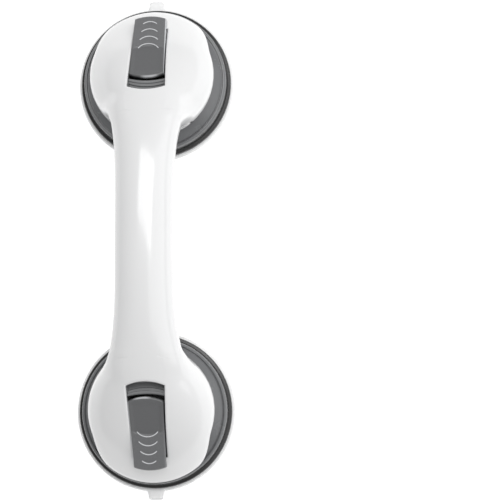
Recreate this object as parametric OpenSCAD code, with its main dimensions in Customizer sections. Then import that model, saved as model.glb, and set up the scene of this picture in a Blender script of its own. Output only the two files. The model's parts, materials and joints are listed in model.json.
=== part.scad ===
// Suction grab bar: a hollow two-shell handle between two cam-locked suction cups.
// The mounting surface is Z = 0, the bar runs along Y, and each cup axis is vertical.
// An end is modelled round its own cup axis, with +Y pointing away from the grip.

/* [Overall] */
// Distance between the two cup axes
cup_spacing = 196; // [164:1:240]
// Height of the grip's top above the mounting surface
grip_top_z = 76.5; // [72:0.5:92]
// Clear height under the middle of the grip
hand_gap = 48.5; // [42:0.5:52]

/* [Handle] */
// Width of the grip at its middle
grip_w = 32.8; // [28:0.2:40]
// Extra half width of the grip where it meets a head
grip_flare = 3; // [0:0.2:5]
// Drop from the grip's top line to its widest line
crown_drop = 13; // [11:0.5:15]
// Length over which the grip curves down to a cup axis
arch_reach = 98; // [90:1:98]
// Radius of the round head over each cup
head_r = 36.7; // [35:0.1:38.5]
// Height of the head's lower edge
rim_z = 25.5; // [25.5:0.1:27]
// Wall of both handle shells
shell_t = 2.4; // [2:0.1:2.8]
// Parting gap between the two shells
shell_gap = 0.2; // [0.1:0.05:0.4]

/* [Lever slot] */
// Width of the slot in the top shell
slot_w = 22; // [21.4:0.1:24]
// Radius of the slot's curved ends
slot_end_r = 27.5; // [22:0.5:40]
// Slot end on the grip side, measured from the cup axis
slot_in = 15; // [14.6:0.1:17]
// Slot end on the outer side, measured from the cup axis
slot_out = 28.5; // [27:0.1:29.5]

/* [Lever] */
// Lever width at its inner end
lever_w = 20.2; // [18:0.1:20.4]
// Lever width at its outer tip
lever_tip_w = 18.8; // [16:0.1:20]
// Lever end on the grip side, measured from the cup axis
lever_in = 5.7; // [5:0.1:6]
// Reach of the lever's tip from the cup axis
lever_out = 34.4; // [32:0.1:35]
// Height of the lever's inner top edge
lever_in_z = 53; // [52:0.1:54]
// Height of the lever's outer top edge above the handle's top line at the slot's outer end
lever_out_rise = 2.5; // [1.5:0.1:3.5]
// Thickness of the lever's top plate, measured vertically
lever_t = 3.6; // [2.8:0.1:3.8]
// Thickness of the lever's side skirts
skirt_t = 1.6; // [1.2:0.1:2]
// Number of raised arcs on the lever
ridges = 4; // [2:1:5]

/* [Cam and pin] */
// Height of the lever pin in the locked position
pin_z = 41; // [40:0.1:42]
// Radius of the lever pin
pin_r = 2; // [1.6:0.1:2.4]
// Radial clearance of the pin and of the stem in their bores
fit_gap = 0.05; // [0.02:0.01:0.1]
// Height of the pin above the cam plate when locked
cam_high = 9; // [8.6:0.1:9.4]
// Lift of the cup's centre between released and locked
lift = 5; // [4:0.1:5.2]
// Opening angle of the lever
open_angle = 90; // [80:1:92]
// Gap kept between the cam and its plate
cam_gap = 0.2; // [0.1:0.05:0.3]
// Thickness of the steel cam plate
cam_plate_t = 1.2; // [0.8:0.1:1.4]
// Radius of the stem
stem_r = 4; // [3.4:0.1:4.2]

/* [Suction cup] */
// Outer radius of the soft cup
cup_r = 46.8; // [44:0.1:57]
// Width of the flat sealing land
land_w = 6; // [4:0.5:8]
// Height of the locked hollow under the cup's centre
dome_h = 6.5; // [5.5:0.1:7]
// Thickness of the cup's web
web_t = 3; // [2.4:0.1:3.4]
// Radius of the cup's centre boss
boss_r = 13; // [11:0.5:15]
// Height of the boss top
boss_z = 17.5; // [16:0.1:18]
// Reach of the peel tab beyond the cup's edge
tab_reach = 5.2; // [3:0.2:9]
// Width of the peel tab at its tip
tab_w = 7.6; // [6:0.2:12]
// Thickness of the peel tab
tab_t = 2.2; // [1.6:0.1:2.6]

/* [Cup housing] */
// Height of the shoulder edge
shoulder_z = 12.4; // [11:0.1:13]
// Wall of the housing
housing_t = 2.4; // [2:0.1:3]
// Height of the housing's top plate
plate_z = 25.2; // [24.8:0.1:25.3]
// Thickness of the housing's top plate
plate_t = 2.8; // [2.2:0.1:3.2]

/* [Spring] */
// Diameter of the spring wire
wire_d = 1.3; // [0.8:0.1:1.4]
// Number of turns
spring_turns = 5; // [3:0.5:6]

/* [Screws] */
// Radius of every screw's shank
screw_r = 1.4; // [1.2:0.1:1.6]
// Radius of every screw's head
screw_head_r = 2.8; // [2.4:0.1:3]
// Distance of the housing screws from the cup axis, in X and in Y
screw_pos = 17; // [16.5:0.1:17.5]
// Places of the grip screws along the grip, as shares of the cup spacing
grip_screws = [0.08, 0.22];

/* [Hidden] */
$fn = 96;
FRONT = -1;
REAR = 1;
EPS = 0.01;

cup_y = cup_spacing / 2;
neck_y = arch_reach - head_r;

// The housing follows the cup, and the head's outer tongue follows the housing
skirt_r = cup_r - 1.8;
shoulder_r = skirt_r - 3.2;
neck_r = head_r - 3.5;
tongue_r = shoulder_r - 0.2;
tongue_z = shoulder_z + 1.4;
tongue_span = [72, 38];
tongue_gap = 2.3;
crown_end_z = tongue_z + 0.7;

// Exponents of the curves that shape the handle
crown_p = 2.4;
crown_q = 1.15;
under_p = 6;
flare_p = 4;
grip_n = 2.2;
dome_n = 2.1;
blend_w = 3;

// Grid of the handle shells
side_steps = 11;
grip_steps = 9;
neck_steps = 7;
tongue_steps = 13;
tongue_end = 3;
keel_w = 0.8;

// Parting line of the shells, from the grip's widest line down to the head floor
part_from = 56;
part_to = 70;

// Heights of the mechanism
cam_plate_z = pin_z - cam_high - cam_gap;
turret_z = cam_plate_z - cam_plate_t;
pitch = lift / (open_angle * PI / 180);
lever_out_z = top_z(cup_y + slot_out) + lever_out_rise;
lever_slope = (lever_out_z - lever_in_z) / (lever_out + lever_in);
pocket_z = turret_z - 2;
spring_r = stem_r + 1.3;
pocket_r = spring_r + wire_d / 2 + 0.35;
eye_w = 2 * stem_r - 0.4;
cheek_in = eye_w / 2 + 0.5;
cheek_out = cheek_in + 4.7;
turret_in = 7.8;
turret_out = 9;
turret_w = 20;
flange_r = 9.5;
flange_z = [10.5, 13.5];
flange_gap = 0.1;
lip_z = 2.6;
lip_gap = 0.1;

// Heights of the head's floor and of its screw bosses
floor_z = rim_z;
floor_top = rim_z + shell_t;
floor_out = 18;
floor_gap = 0.8;
screw_boss_r = 3.2;
screw_gap = 0.2;
screw_head_t = 1.9;
screw_seat = 6;
grip_screw_len = 16;
screw_tip_gap = 1;
well_wall = 1.6;
well_gap = 0.1;
boss_pos = max(screw_pos, slot_w / 2 + well_wall + screw_boss_r);
boss_reach = boss_pos + screw_boss_r;
boss_top = min(32, roof_z(cup_y + boss_reach, boss_reach) - 3 * well_gap);

// ---------------------------------------------------------------- functions

function smoothstep(t) = let (c = min(1, max(0, t))) c * c * (3 - 2 * c);
function smooth_max(a, b) =
    let (k = max(EPS, min(blend_w, max(a, b))), d = max(0, k - abs(a - b)))
    max(a, b) + d * d / (4 * k);
function arch(y) = max(0, abs(y) - (cup_y - arch_reach));

// Top line of the handle, and the line under the grip
function top_z(y, inset = 0) =
    let (k = min(1, arch(y) / (arch_reach + tongue_r - inset)))
    crown_end_z + (grip_top_z - inset - crown_end_z) * pow(1 - pow(k, crown_p), 1 / crown_q);
function under_z(y, inset = 0) =
    let (k = min(1, arch(y) / (neck_y + inset)))
    hand_gap + inset - (hand_gap - rim_z) * pow(k, under_p);
function widest_z(y) = top_z(y) - crown_drop;

// Half width of the grip and of the head at a height
function grip_half(y, z, inset) =
    let (s = widest_z(y),
        run = z > s ? top_z(y, inset) - s : s - under_z(y, inset),
        w = grip_w / 2 - inset + grip_flare * pow(min(1.1, arch(y) / neck_y), flare_p),
        fade = 1 - smoothstep((arch(y) - arch_reach + 25) / 25))
    fade * w * pow(max(0, 1 - pow(abs(z - s) / max(EPS, run), grip_n)), 1 / grip_n);
function head_half(z, foot_w, foot_z, crown_z) =
    foot_w * pow(max(0, 1 - pow(max(0, z - foot_z) / (crown_z - foot_z), dome_n)), 1 / dome_n);

// A station holds its Y, and the half width and the height of the head's edge there
function inner_station(y, inset) =
    [y, sqrt(max(0, pow(head_r - inset, 2) - pow(cup_y - y, 2))), rim_z];
function outer_station(a, inset) =
    let (k = smoothstep((tongue_span[0] - a) / (tongue_span[0] - tongue_span[1])),
        r = head_r - inset + (tongue_r - head_r) * k)
    [cup_y + r * cos(a), r * sin(a), rim_z - (rim_z - tongue_z) * k];
function half_width(st, z, inset) =
    smooth_max(grip_half(st[0], z, inset),
        head_half(z, st[1], st[2], top_z(st[0], inset)));
// Height at which a cross section of the handle narrows to a half width
function skin_z(st, half, inset, low, high, tries = 14) =
    let (mid = (low + high) / 2)
    tries == 0 ? low :
        half_width(st, mid, inset) > half ?
            skin_z(st, half, inset, mid, high, tries - 1) :
            skin_z(st, half, inset, low, mid, tries - 1);
function roof_z(y, half) =
    skin_z(inner_station(y, shell_t), half, shell_t, widest_z(y), top_z(y, shell_t));
function flip(st) = [-st[0], st[1], st[2]];
function mirrored(list) =
    concat([for (i = [len(list) - 1 : -1 : 1]) flip(list[i])], list);

neck_at = cup_y - head_r;
part_end = cup_y - arch_reach + part_to;
part_start = cup_y - arch_reach + part_from;
grip_ys = [for (i = [0 : grip_steps]) part_start * i / grip_steps];
neck_ys = [for (i = [1 : neck_steps]) part_start + (part_end - part_start) * i / neck_steps];
head_ys = [for (k = [0.015, 0.1, 0.25, 0.45, 0.65, 0.85])
    part_end + (cup_y - part_end) * k];
tongue_as = [for (i = [0 : tongue_steps]) 90 + (tongue_end - 90) * i / tongue_steps];

function shell_stations(inset) = mirrored(concat(
    [for (y = concat(grip_ys, neck_ys, head_ys)) inner_station(y, inset)],
    [for (a = tongue_as) outer_station(a, inset)]));
function floor_stations(inset) = mirrored(
    [for (y = concat(grip_ys, neck_ys)) inner_station(y, inset)]);

// Height of the parting line at a station
function parting_z(st) =
    let (y = abs(st[0]), k = smoothstep((y - part_start) / (part_end - part_start)))
    y > part_end + EPS ? st[2] : widest_z(y) + (floor_top - widest_z(y)) * k;

// One cross line of the top shell from its right edge over the crown to its left edge
function top_line(st, foot, inset) =
    let (crown = top_z(st[0], inset),
        right = [for (j = [0 : side_steps - 1])
            let (z = foot + (crown - foot) * sin(90 * j / side_steps))
            [half_width(st, z, inset), st[0], z]])
    concat(right, [[0, st[0], crown]],
        [for (j = [side_steps - 1 : -1 : 0]) [-right[j][0], right[j][1], right[j][2]]]);

// One cross line of the bottom shell from its right edge under the grip to its left edge
function keel_line(st, foot, inset) =
    let (low = max(under_z(st[0], inset), rim_z + inset),
        right = [for (j = [0 : side_steps])
            let (z = foot + (low - foot) * sin(90 * j / side_steps))
            [max(keel_w - 0.3 * inset, half_width(st, z, inset)), st[0], z]])
    concat(right, [for (j = [side_steps : -1 : 0]) [-right[j][0], right[j][1], right[j][2]]]);

// Triangles of a wall between an outer and an inner grid with m lines of n points
function quad(a, b, c, d) = [[a, b, c], [a, c, d]];
function flat(lists) = [for (l = lists) each l];
function reversed(faces) = [for (f = faces) [for (k = [len(f) - 1 : -1 : 0]) f[k]]];
function wall_faces(m, n) =
    let (s = m * n)
    flat(concat(
        [for (i = [0 : m - 2], j = [0 : n - 2])
            quad(i * n + j, (i + 1) * n + j, (i + 1) * n + j + 1, i * n + j + 1)],
        [for (i = [0 : m - 2], j = [0 : n - 2])
            quad(s + i * n + j, s + i * n + j + 1, s + (i + 1) * n + j + 1, s + (i + 1) * n + j)],
        [for (i = [0 : m - 2]) quad(i * n, s + i * n, s + (i + 1) * n, (i + 1) * n)],
        [for (i = [0 : m - 2])
            quad((i + 1) * n - 1, (i + 2) * n - 1, s + (i + 2) * n - 1, s + (i + 1) * n - 1)],
        [for (j = [0 : n - 2]) quad(j, j + 1, s + j + 1, s + j)],
        [for (j = [0 : n - 2])
            quad((m - 1) * n + j, s + (m - 1) * n + j, s + (m - 1) * n + j + 1,
                (m - 1) * n + j + 1)]));

// ------------------------------------------------------------------ helpers

module place(side) {
    translate([0, side * cup_y, 0]) rotate(side == REAR ? 0 : 180) children();
}

// Extrudes a side view, drawn with Y to the right and Z up, between two X planes
module side_extrude(x0, x1) {
    translate([x0, 0, 0]) rotate([90, 0, 90]) linear_extrude(x1 - x0) children();
}

module both_sides() {
    children();
    mirror([1, 0, 0]) children();
}

// Strip along Y with curved ends, tapering from one width to the other
module curved_strip(w_in, w_out, y_in, y_out, end_r) {
    intersection() {
        polygon([[-w_in / 2, y_in], [w_in / 2, y_in], [w_out / 2, y_out], [-w_out / 2, y_out]]);
        translate([0, y_in + end_r]) circle(end_r);
        translate([0, y_out - end_r]) circle(end_r);
    }
}

module screw(length) {
    translate([0, 0, -EPS]) cylinder(r = screw_r, h = length + EPS);
    translate([0, 0, -screw_head_t]) cylinder(r = screw_head_r, h = screw_head_t);
}

module housing_screw_places() {
    for (x = [-1, 1], y = [-1, 1]) translate([x * boss_pos, y * boss_pos, 0]) children();
}

module grip_screw_places() {
    for (side = [FRONT, REAR], k = grip_screws)
        let (y = side * k * cup_spacing) translate([0, y, under_z(y) + screw_seat]) children();
}

// ------------------------------------------------------------------- handle

module slot_cut() {
    translate([0, 0, tongue_z]) linear_extrude(grip_top_z)
        curved_strip(slot_w, slot_w, -slot_in, slot_out, slot_end_r);
}

module handle_top_shell() {
    outer = shell_stations(0);
    inner = shell_stations(shell_t);
    n = 2 * side_steps + 1;
    color("white") difference() {
        union() {
            polyhedron(concat(
                flat([for (st = outer) top_line(st, parting_z(st) + shell_gap / 2, 0)]),
                flat([for (i = [0 : len(inner) - 1])
                    top_line(inner[i], parting_z(outer[i]) + shell_gap / 2, shell_t)])),
                reversed(wall_faces(len(outer), n)), convexity = 10);
            for (side = [FRONT, REAR], k = grip_screws)
                let (y = side * k * cup_spacing, foot = widest_z(y) - 1)
                translate([0, y, foot])
                    cylinder(r = screw_boss_r, h = top_z(y) - shell_t / 2 - foot);
        }
        place(FRONT) slot_cut();
        place(REAR) slot_cut();
        for (side = [FRONT, REAR], k = grip_screws)
            let (y = side * k * cup_spacing, foot = widest_z(y) - 2,
                tip = under_z(y) + screw_seat + grip_screw_len)
            translate([0, y, foot])
                cylinder(r = screw_r + fit_gap, h = tip + screw_tip_gap - foot);
    }
}

module floor_plate() {
    r = head_r - shell_t - floor_gap;
    intersection() {
        translate([0, 0, floor_z]) cylinder(r = r, h = shell_t);
        translate([-r, -r, floor_z - 1]) cube([2 * r, r + floor_out, shell_t + 2]);
    }
    housing_screw_places() translate([0, 0, floor_z]) cylinder(r = screw_boss_r, h = boss_top - floor_z);
}

module floor_cuts() {
    translate([-turret_w / 2 - 1.5, -slot_in - 1, floor_z - 1])
        cube([turret_w + 3, slot_in + turret_out + 2.5, shell_t + 2]);
    housing_screw_places() translate([0, 0, floor_z - 1])
        cylinder(r = screw_r + fit_gap, h = boss_top - floor_z - 1);
}

module handle_bottom_shell() {
    outer = floor_stations(0);
    inner = floor_stations(shell_t);
    n = 2 * side_steps + 2;
    color("whitesmoke") difference() {
        union() {
            polyhedron(concat(
                flat([for (st = outer) keel_line(st, parting_z(st) - shell_gap / 2, 0)]),
                flat([for (i = [0 : len(inner) - 1])
                    keel_line(inner[i], parting_z(outer[i]) - shell_gap / 2, shell_t)])),
                wall_faces(len(outer), n), convexity = 10);
            place(FRONT) floor_plate();
            place(REAR) floor_plate();
            grip_screw_places() translate([0, 0, -5])
                cylinder(r = screw_boss_r + 1, h = widest_z(0) - hand_gap - 4);
        }
        place(FRONT) floor_cuts();
        place(REAR) floor_cuts();
        grip_screw_places() {
            translate([0, 0, -9]) cylinder(r = screw_head_r + screw_gap, h = 9);
            translate([0, 0, -1]) cylinder(r = screw_r + screw_gap, h = 20);
        }
    }
}

module shell_screws() {
    color("silver") grip_screw_places() screw(grip_screw_len);
}

// -------------------------------------------------------------- one cup end

// Clears the housing's neck from the underside of the head's tongue
module under_tongue_cut() {
    ys = [for (i = [0 : 6]) 20 + (shoulder_r - 22) * i / 6];
    side_extrude(-head_r, head_r) polygon(concat(
        [for (y = ys) [y, min(rim_z, top_z(cup_y + y, shell_t) - tongue_gap)]],
        [[shoulder_r - 2, rim_z + 1], [20, rim_z + 1]]));
}

module cup_housing() {
    slope_z = plate_z - 8;
    color("dimgray") difference() {
        union() {
            rotate_extrude() difference() {
                polygon([[0, lip_z + lip_gap], [skirt_r - 0.5, lip_z + lip_gap], [skirt_r, lip_z + 0.6], [skirt_r, 5.4],
                    [skirt_r - 0.4, 6], [skirt_r - 1.7, 6.3], [skirt_r - 2.2, 7.4],
                    [shoulder_r + 0.7, shoulder_z - 0.9], [shoulder_r, shoulder_z],
                    [shoulder_r - 0.9, shoulder_z + 0.3], [shoulder_r - 1.1, shoulder_z - 0.1],
                    [shoulder_r - 1.6, shoulder_z - 0.1], [shoulder_r - 1.8, shoulder_z + 0.5],
                    [neck_r + 1.4, slope_z - 0.5], [neck_r + 0.4, slope_z + 0.4],
                    [neck_r, slope_z + 1.6], [neck_r, plate_z], [0, plate_z]]);
                polygon([[0, 0], [skirt_r - 3, 0], [skirt_r - 3, 4.4],
                    [shoulder_r - housing_t, shoulder_z - housing_t],
                    [neck_r - housing_t, slope_z - 1], [neck_r - housing_t, plate_z - plate_t],
                    [0, plate_z - plate_t]]);
            }
            translate([-turret_w / 2, -turret_in, plate_z - 1])
                cube([turret_w, turret_in + turret_out, turret_z - plate_z + 1]);
        }
        cylinder(r = stem_r + fit_gap, h = grip_top_z);
        cylinder(r = pocket_r, h = pocket_z);
        housing_screw_places() cylinder(r = screw_r + screw_gap, h = grip_top_z);
        under_tongue_cut();
    }
}

module peel_tab() {
    tip = cup_r + tab_reach - tab_w / 2;
    root = cup_r - land_w + 0.5;
    linear_extrude(tab_t) union() {
        polygon([[-tab_w * 0.85, root], [tab_w * 0.85, root], [tab_w / 2, tip - 1],
            [tab_w / 2, tip], [-tab_w / 2, tip], [-tab_w / 2, tip - 1]]);
        translate([0, tip]) circle(tab_w / 2);
    }
}

module suction_cup() {
    land_r = cup_r - land_w - 0.4;
    color([0.75, 0.76, 0.77, 0.7]) difference() {
        union() {
            rotate_extrude() polygon([[0, dome_h], [boss_r, dome_h - 0.3], [25, dome_h * 0.74],
                [land_r - 4, dome_h * 0.3], [land_r, 0], [cup_r - 0.5, 0], [cup_r, 0.6],
                [cup_r - 0.4, lip_z - 0.4], [cup_r - 0.8, lip_z], [land_r - 1, web_t - 0.5],
                [land_r - 5, web_t + 1.6], [25, dome_h * 0.74 + web_t],
                [boss_r + 1.5, dome_h + web_t], [boss_r, dome_h + web_t + 1.5],
                [boss_r, boss_z - 0.6], [boss_r - 0.6, boss_z], [0, boss_z]]);
            peel_tab();
        }
        translate([0, 0, flange_z[0] - flange_gap])
            cylinder(r = flange_r + flange_gap, h = flange_z[1] - flange_z[0] + 2 * flange_gap);
        translate([0, 0, flange_z[0]]) cylinder(r = stem_r + flange_gap, h = boss_z);
    }
}

module cup_stem() {
    color("gainsboro") difference() {
        union() {
            translate([0, 0, flange_z[0]]) cylinder(r = flange_r, h = flange_z[1] - flange_z[0]);
            intersection() {
                union() {
                    translate([0, 0, flange_z[0]]) cylinder(r = stem_r, h = pin_z - flange_z[0]);
                    translate([-stem_r, 0, pin_z]) rotate([0, 90, 0])
                        cylinder(r = stem_r, h = 2 * stem_r);
                }
                union() {
                    cylinder(r = stem_r + 1, h = turret_z + lift);
                    translate([-eye_w / 2, -stem_r, 0]) cube([eye_w, 2 * stem_r, grip_top_z]);
                }
            }
        }
        translate([-stem_r - 1, 0, pin_z]) rotate([0, 90, 0])
            cylinder(r = pin_r + fit_gap, h = 2 * stem_r + 2);
    }
}

// Round wire wound between the boss and the roof of the spring pocket
module stem_spring() {
    sides = 8;
    per_turn = 18;
    rings = spring_turns * per_turn;
    low = boss_z + wire_d / 2 + 0.05;
    high = pocket_z - wire_d / 2 - 0.05;
    function rise(k) = smoothstep(k) * 0.5 + k * 0.5;
    points = [for (i = [0 : rings], j = [0 : sides - 1])
        let (a = 360 * i / per_turn, b = 360 * j / sides,
            r = spring_r + wire_d / 2 * cos(b),
            z = low + (high - low) * rise(i / rings) + wire_d / 2 * sin(b))
        [r * cos(a), r * sin(a), z]];
    tube = flat([for (i = [0 : rings - 1], j = [0 : sides - 1])
        let (k = (j + 1) % sides)
        quad(i * sides + j, i * sides + k, (i + 1) * sides + k, (i + 1) * sides + j)]);
    ends = [[for (j = [sides - 1 : -1 : 0]) j],
        [for (j = [0 : sides - 1]) rings * sides + j]];
    color("silver") polyhedron(points, concat(tube, ends), convexity = 10);
}

module cam_plate() {
    x = turret_w / 2 - 0.4;
    y = turret_in - 1.3;
    color("lightsteelblue") translate([0, 0, turret_z]) linear_extrude(cam_plate_t)
        difference() {
            union() {
                square([2 * x, 2 * y - 3], center = true);
                square([2 * x - 3, 2 * y], center = true);
                for (i = [-1, 1], j = [-1, 1]) translate([i * (x - 1.5), j * (y - 1.5)]) circle(1.5);
            }
            circle(stem_r + 0.3);
        }
}

// Tray round the lever, with a sloping ledge that shows inside the slot
module lever_well() {
    wall_in = slot_w / 2 - well_gap;
    wall_out = wall_in + well_wall;
    sweep_r = sqrt(pow(lever_in, 2) + pow(lever_in_z - pin_z, 2)) + 1.1;
    back = slot_in + 2.4;
    ledge_z = min(top_z(cup_y - slot_in) - shell_t - 2.2,
        roof_z(cup_y - slot_in, wall_in) - 3 * well_gap,
        roof_z(cup_y - back, wall_in) + 1 - 3 * well_gap);
    ledge_in = sweep_r * cos(50);
    foot = floor_top + 0.1;
    color("gray") union() {
        both_sides() side_extrude(wall_in, wall_out)
            polygon(concat([[-back, foot]],
                [for (i = [0 : 6]) let (y = -back + (back + 22) * i / 6)
                    [y, min(top_z(cup_y + y, shell_t) - (i == 0 ? 3.8 : 3.2),
                        roof_z(cup_y + y, wall_out) - 2 * well_gap)]],
                [[22, foot]]));
        side_extrude(-wall_in - EPS, wall_in + EPS)
            polygon(concat([[-back, foot], [-back, ledge_z - 1], [-slot_in, ledge_z],
                [-ledge_in, ledge_z + lever_slope * (slot_in - ledge_in)]],
                [for (a = [130 : 5 : 180]) [sweep_r * cos(a), pin_z + sweep_r * sin(a)]],
                [[-sweep_r, foot]]));
    }
}

// Side view of the lever's body: top plate, skirts and down-turned tip
module lever_side() {
    function plate_top(y) = lever_in_z + lever_slope * (y + lever_in);
    step = slot_out - 2.6;
    polygon(concat([[-lever_in, plate_top(-lever_in)], [lever_out, plate_top(lever_out)]],
        [for (i = [0 : 4]) let (y = lever_out - 0.4 + (step - lever_out + 0.4) * i / 4)
            [y, min(top_z(cup_y + y) + 0.9, plate_top(y) - 2.2)]],
        [[step - 1.1, pin_z - 10.6], [7.5, pin_z - 6.5], [-3.9, pin_z + 1],
            [-3.9, pin_z + 7.4], [-lever_in, lever_in_z - lever_t]]));
}

// Side view of the cavity under the lever's plate
module lever_cavity() {
    function plate_low(y) = lever_in_z - lever_t + lever_slope * (y + lever_in);
    end = slot_out - 5;
    polygon([[-lever_in - 1, plate_low(-lever_in - 1)], [end, plate_low(end)],
        [end, 0], [-lever_in - 1, 0]]);
}

// Cam outline: the involute of a circle, so that the lift is even over the whole turn
module cam_side() {
    function support(t) = cam_high - pitch * t * PI / 180;
    polygon(concat([[6.5, pin_z + 4.6], [6.5, pin_z - cam_high]],
        [for (i = [0 : 30])
            let (t = open_angle * i / 30, a = -90 - t)
            [support(t) * cos(a) - pitch * sin(a), pin_z + support(t) * sin(a) + pitch * cos(a)]],
        [[-support(open_angle), pin_z + 7.4], [-support(open_angle), pin_z + 8.4]]));
}

module lever_ridges() {
    first = 15.5;
    gap = 5;
    for (i = [0 : ridges - 1])
        let (half = 5.8 - 0.65 * i, r = 7.6 - 0.5 * i, y = first + gap * i)
        translate([0, y - r, lever_in_z + lever_slope * (y - r + lever_in)])
            rotate([atan(lever_slope), 0, 0])
            rotate([0, 0, 90 - asin(half / r)])
            rotate_extrude(angle = 2 * asin(half / r))
            translate([r, -0.15]) circle(0.45, $fn = 16);
}

module lever() {
    color("gray") difference() {
        union() {
            intersection() {
                difference() {
                    side_extrude(-lever_w, lever_w) lever_side();
                    side_extrude(skirt_t - lever_w / 2, lever_w / 2 - skirt_t) lever_cavity();
                }
                linear_extrude(grip_top_z)
                    curved_strip(lever_w, lever_tip_w, -lever_in, lever_out, slot_end_r - 3.5);
            }
            both_sides() side_extrude(cheek_in, cheek_out) cam_side();
            lever_ridges();
        }
        translate([-lever_w, 0, pin_z]) rotate([0, 90, 0])
            cylinder(r = pin_r + fit_gap, h = 2 * lever_w);
    }
}

module lever_pin() {
    half = lever_w / 2 - 0.6;
    color("silver") translate([-half, 0, pin_z]) rotate([0, 90, 0])
        cylinder(r = pin_r, h = 2 * half);
}

module housing_screws() {
    color("silver") housing_screw_places()
        translate([0, 0, plate_z - plate_t]) screw(boss_top - plate_z - 1);
}

// -------------------------------------------------------------------- nodes

module front_cup_housing() { place(FRONT) cup_housing(); }
module rear_cup_housing() { place(REAR) cup_housing(); }
module front_suction_cup() { place(FRONT) suction_cup(); }
module rear_suction_cup() { place(REAR) suction_cup(); }
module front_cup_stem() { place(FRONT) cup_stem(); }
module rear_cup_stem() { place(REAR) cup_stem(); }
module front_stem_spring() { place(FRONT) stem_spring(); }
module rear_stem_spring() { place(REAR) stem_spring(); }
module front_cam_plate() { place(FRONT) cam_plate(); }
module rear_cam_plate() { place(REAR) cam_plate(); }
module front_lever_well() { place(FRONT) lever_well(); }
module rear_lever_well() { place(REAR) lever_well(); }
module front_lever() { place(FRONT) lever(); }
module rear_lever() { place(REAR) lever(); }
module front_lever_pin() { place(FRONT) lever_pin(); }
module rear_lever_pin() { place(REAR) lever_pin(); }
module front_housing_screws() { place(FRONT) housing_screws(); }
module rear_housing_screws() { place(REAR) housing_screws(); }

handle_top_shell();
handle_bottom_shell();
shell_screws();
front_cup_housing();
front_suction_cup();
front_cup_stem();
front_stem_spring();
front_cam_plate();
front_lever_well();
front_lever();
front_lever_pin();
front_housing_screws();
rear_cup_housing();
rear_suction_cup();
rear_cup_stem();
rear_stem_spring();
rear_cam_plate();
rear_lever_well();
rear_lever();
rear_lever_pin();
rear_housing_screws();
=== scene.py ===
"""Suction grab bar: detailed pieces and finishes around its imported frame."""

import json
import math

import bpy
import numpy as np
from bpy.props import FloatProperty, FloatVectorProperty, IntProperty, PointerProperty
from mathutils import Matrix, Vector

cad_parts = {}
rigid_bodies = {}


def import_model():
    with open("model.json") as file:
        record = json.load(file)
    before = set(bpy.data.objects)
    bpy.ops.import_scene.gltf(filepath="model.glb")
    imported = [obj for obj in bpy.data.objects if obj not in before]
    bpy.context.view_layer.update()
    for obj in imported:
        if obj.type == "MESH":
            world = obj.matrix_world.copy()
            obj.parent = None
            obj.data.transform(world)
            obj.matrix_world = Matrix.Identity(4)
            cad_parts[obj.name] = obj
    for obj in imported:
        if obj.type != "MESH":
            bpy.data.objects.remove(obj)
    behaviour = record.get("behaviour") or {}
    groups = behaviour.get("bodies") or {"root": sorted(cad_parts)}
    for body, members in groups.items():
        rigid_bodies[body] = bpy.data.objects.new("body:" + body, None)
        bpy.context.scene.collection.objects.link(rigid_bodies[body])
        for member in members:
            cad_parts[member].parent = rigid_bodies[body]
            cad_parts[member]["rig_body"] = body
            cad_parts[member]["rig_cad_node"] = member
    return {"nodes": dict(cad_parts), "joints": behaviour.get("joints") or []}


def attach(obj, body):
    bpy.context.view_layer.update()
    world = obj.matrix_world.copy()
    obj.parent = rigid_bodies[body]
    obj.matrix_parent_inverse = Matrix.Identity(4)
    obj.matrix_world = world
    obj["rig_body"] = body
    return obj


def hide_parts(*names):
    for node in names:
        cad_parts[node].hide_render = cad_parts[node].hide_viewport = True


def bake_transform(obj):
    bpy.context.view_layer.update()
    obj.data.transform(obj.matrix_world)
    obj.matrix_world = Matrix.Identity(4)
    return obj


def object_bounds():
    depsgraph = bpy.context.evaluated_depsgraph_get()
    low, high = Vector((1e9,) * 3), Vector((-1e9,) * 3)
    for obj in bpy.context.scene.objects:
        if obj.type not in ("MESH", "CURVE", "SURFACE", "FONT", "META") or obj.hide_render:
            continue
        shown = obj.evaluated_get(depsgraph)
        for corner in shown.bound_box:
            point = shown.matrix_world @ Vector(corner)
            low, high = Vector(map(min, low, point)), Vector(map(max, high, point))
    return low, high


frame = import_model()
CAD_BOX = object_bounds()

bl_info = {
    "name": "Suction Grab Bar",
    "version": (1, 0, 0),
    "blender": (4, 5, 0),
    "location": "View3D > Sidebar > Grab Bar",
    "description": "Builds a grab bar with two cam-locked suction cups",
    "category": "Object",
}

JOINTS = {joint["name"]: joint for joint in frame["joints"]}
HINGE = JOINTS["rear_lever_hinge"]["pos_m"]
LIFT = JOINTS["rear_stem_slide"]["range_m"][1]
BAR_TOP = CAD_BOX[1][2]
CUP_AXIS = HINGE[1]
FRONT, REAR = "front", "rear"
ENDS = {REAR: CUP_AXIS, FRONT: -CUP_AXIS}
TINY = 1e-5


# ------------------------------------------------------------------ settings


def length(name, default, description):
    return FloatProperty(name=name, description=description, default=default, unit="LENGTH", precision=5)


def colour(name, default, description):
    return FloatVectorProperty(
        name=name, description=description, default=default, subtype="COLOR", size=3, min=0, max=1
    )


def share(name, default, description):
    return FloatProperty(name=name, description=description, default=default, subtype="FACTOR", min=0, max=1)


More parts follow.
